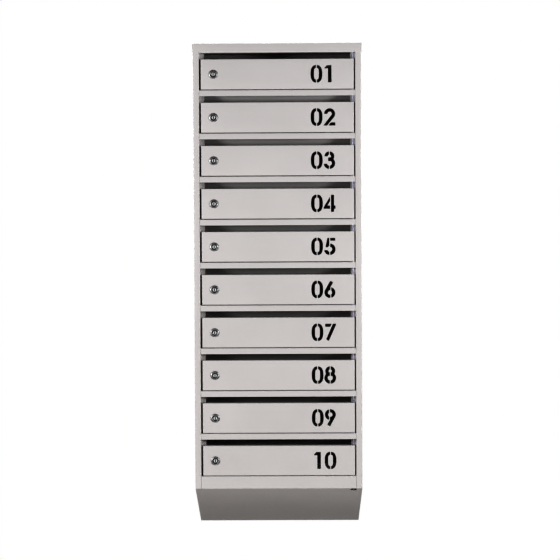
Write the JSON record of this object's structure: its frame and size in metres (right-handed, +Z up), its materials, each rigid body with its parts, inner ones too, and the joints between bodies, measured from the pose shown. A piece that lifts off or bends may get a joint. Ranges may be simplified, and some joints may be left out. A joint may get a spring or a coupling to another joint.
{
  "type": "letterbox bank",
  "caption": "Wall-hung vertical bank of letterboxes in folded sheet steel: a letter slot and a hinged, locked, numbered door for each compartment, with a sloping underside.",
  "frame": {"origin": "on the wall plane, at the centre of the four wall-fixing holes in the back panel", "axes": "+Z up, +Y into the wall, the doors face -Y, +X towards the hinge rod"},
  "size_m": [0.3926, 0.1922, 1.1499],
  "materials": {
    "powder_coat": "warm light grey fine-textured powder coat, satin",
    "zinc_plate": "bright zinc plate with a faint blue tint",
    "lock_chrome": "polished chrome plate",
    "lock_plug": "dull nickel plate"
  },
  "bodies": {
    "cabinet": {"side_left": "powder_coat", "side_right": "powder_coat", "back_panel": "powder_coat", "top_header": "powder_coat", "top_lid": "powder_coat", "bottom_panel": "powder_coat", "shelf_01": "powder_coat", "shelf_02": "powder_coat", "shelf_03": "powder_coat", "shelf_04": "powder_coat", "shelf_05": "powder_coat", "shelf_06": "powder_coat", "shelf_07": "powder_coat", "shelf_08": "powder_coat", "shelf_09": "powder_coat", "hinge_rod": "zinc_plate", "rod_clips": "zinc_plate", "hinge_washers": "zinc_plate"},
    "door_leaf_01": {"door_01": "powder_coat", "lock_01": "lock_chrome"},
    "lock_core_01": {"lock_plug_01": "lock_plug", "lock_cam_01": "zinc_plate"},
    "door_leaf_02": {"door_02": "powder_coat", "lock_02": "lock_chrome"},
    "lock_core_02": {"lock_plug_02": "lock_plug", "lock_cam_02": "zinc_plate"},
    "door_leaf_03": {"door_03": "powder_coat", "lock_03": "lock_chrome"},
    "lock_core_03": {"lock_plug_03": "lock_plug", "lock_cam_03": "zinc_plate"},
    "door_leaf_04": {"door_04": "powder_coat", "lock_04": "lock_chrome"},
    "lock_core_04": {"lock_plug_04": "lock_plug", "lock_cam_04": "zinc_plate"},
    "door_leaf_05": {"door_05": "powder_coat", "lock_05": "lock_chrome"},
    "lock_core_05": {"lock_plug_05": "lock_plug", "lock_cam_05": "zinc_plate"},
    "door_leaf_06": {"door_06": "powder_coat", "lock_06": "lock_chrome"},
    "lock_core_06": {"lock_plug_06": "lock_plug", "lock_cam_06": "zinc_plate"},
    "door_leaf_07": {"door_07": "powder_coat", "lock_07": "lock_chrome"},
    "lock_core_07": {"lock_plug_07": "lock_plug", "lock_cam_07": "zinc_plate"},
    "door_leaf_08": {"door_08": "powder_coat", "lock_08": "lock_chrome"},
    "lock_core_08": {"lock_plug_08": "lock_plug", "lock_cam_08": "zinc_plate"},
    "door_leaf_09": {"door_09": "powder_coat", "lock_09": "lock_chrome"},
    "lock_core_09": {"lock_plug_09": "lock_plug", "lock_cam_09": "zinc_plate"},
    "door_leaf_10": {"door_10": "powder_coat", "lock_10": "lock_chrome"},
    "lock_core_10": {"lock_plug_10": "lock_plug", "lock_cam_10": "zinc_plate"}
  },
  "joints": [
    {"name": "door_01_hinge", "type": "hinge", "parent": "cabinet", "child": "door_leaf_01", "pos_m": [0.1748, -0.186, 0.50218], "axis": [0, 0, 1], "range_deg": [0, 105]},
    {"name": "lock_01_turn", "type": "hinge", "parent": "door_leaf_01", "child": "lock_core_01", "pos_m": [-0.1479, -0.18, 0.50218], "axis": [0, 1, 0], "range_deg": [0, 90]},
    {"name": "door_02_hinge", "type": "hinge", "parent": "cabinet", "child": "door_leaf_02", "pos_m": [0.1748, -0.186, 0.40218], "axis": [0, 0, 1], "range_deg": [0, 105]},
    {"name": "lock_02_turn", "type": "hinge", "parent": "door_leaf_02", "child": "lock_core_02", "pos_m": [-0.1479, -0.18, 0.40218], "axis": [0, 1, 0], "range_deg": [0, 90]},
    {"name": "door_03_hinge", "type": "hinge", "parent": "cabinet", "child": "door_leaf_03", "pos_m": [0.1748, -0.186, 0.30218], "axis": [0, 0, 1], "range_deg": [0, 105]},
    {"name": "lock_03_turn", "type": "hinge", "parent": "door_leaf_03", "child": "lock_core_03", "pos_m": [-0.1479, -0.18, 0.30218], "axis": [0, 1, 0], "range_deg": [0, 90]},
    {"name": "door_04_hinge", "type": "hinge", "parent": "cabinet", "child": "door_leaf_04", "pos_m": [0.1748, -0.186, 0.20217], "axis": [0, 0, 1], "range_deg": [0, 105]},
    {"name": "lock_04_turn", "type": "hinge", "parent": "door_leaf_04", "child": "lock_core_04", "pos_m": [-0.1479, -0.18, 0.20217], "axis": [0, 1, 0], "range_deg": [0, 90]},
    {"name": "door_05_hinge", "type": "hinge", "parent": "cabinet", "child": "door_leaf_05", "pos_m": [0.1748, -0.186, 0.10218], "axis": [0, 0, 1], "range_deg": [0, 105]},
    {"name": "lock_05_turn", "type": "hinge", "parent": "door_leaf_05", "child": "lock_core_05", "pos_m": [-0.1479, -0.18, 0.10218], "axis": [0, 1, 0], "range_deg": [0, 90]},
    {"name": "door_06_hinge", "type": "hinge", "parent": "cabinet", "child": "door_leaf_06", "pos_m": [0.1748, -0.186, 0.00217], "axis": [0, 0, 1], "range_deg": [0, 105]},
    {"name": "lock_06_turn", "type": "hinge", "parent": "door_leaf_06", "child": "lock_core_06", "pos_m": [-0.1479, -0.18, 0.00217], "axis": [0, 1, 0], "range_deg": [0, 90]},
    {"name": "door_07_hinge", "type": "hinge", "parent": "cabinet", "child": "door_leaf_07", "pos_m": [0.1748, -0.186, -0.09782], "axis": [0, 0, 1], "range_deg": [0, 105]},
    {"name": "lock_07_turn", "type": "hinge", "parent": "door_leaf_07", "child": "lock_core_07", "pos_m": [-0.1479, -0.18, -0.09782], "axis": [0, 1, 0], "range_deg": [0, 90]},
    {"name": "door_08_hinge", "type": "hinge", "parent": "cabinet", "child": "door_leaf_08", "pos_m": [0.1748, -0.186, -0.19783], "axis": [0, 0, 1], "range_deg": [0, 105]},
    {"name": "lock_08_turn", "type": "hinge", "parent": "door_leaf_08", "child": "lock_core_08", "pos_m": [-0.1479, -0.18, -0.19783], "axis": [0, 1, 0], "range_deg": [0, 90]},
    {"name": "door_09_hinge", "type": "hinge", "parent": "cabinet", "child": "door_leaf_09", "pos_m": [0.1748, -0.186, -0.29783], "axis": [0, 0, 1], "range_deg": [0, 105]},
    {"name": "lock_09_turn", "type": "hinge", "parent": "door_leaf_09", "child": "lock_core_09", "pos_m": [-0.1479, -0.18, -0.29783], "axis": [0, 1, 0], "range_deg": [0, 90]},
    {"name": "door_10_hinge", "type": "hinge", "parent": "cabinet", "child": "door_leaf_10", "pos_m": [0.1748, -0.186, -0.39782], "axis": [0, 0, 1], "range_deg": [0, 105]},
    {"name": "lock_10_turn", "type": "hinge", "parent": "door_leaf_10", "child": "lock_core_10", "pos_m": [-0.1479, -0.18, -0.39782], "axis": [0, 1, 0], "range_deg": [0, 90]}
  ]
}
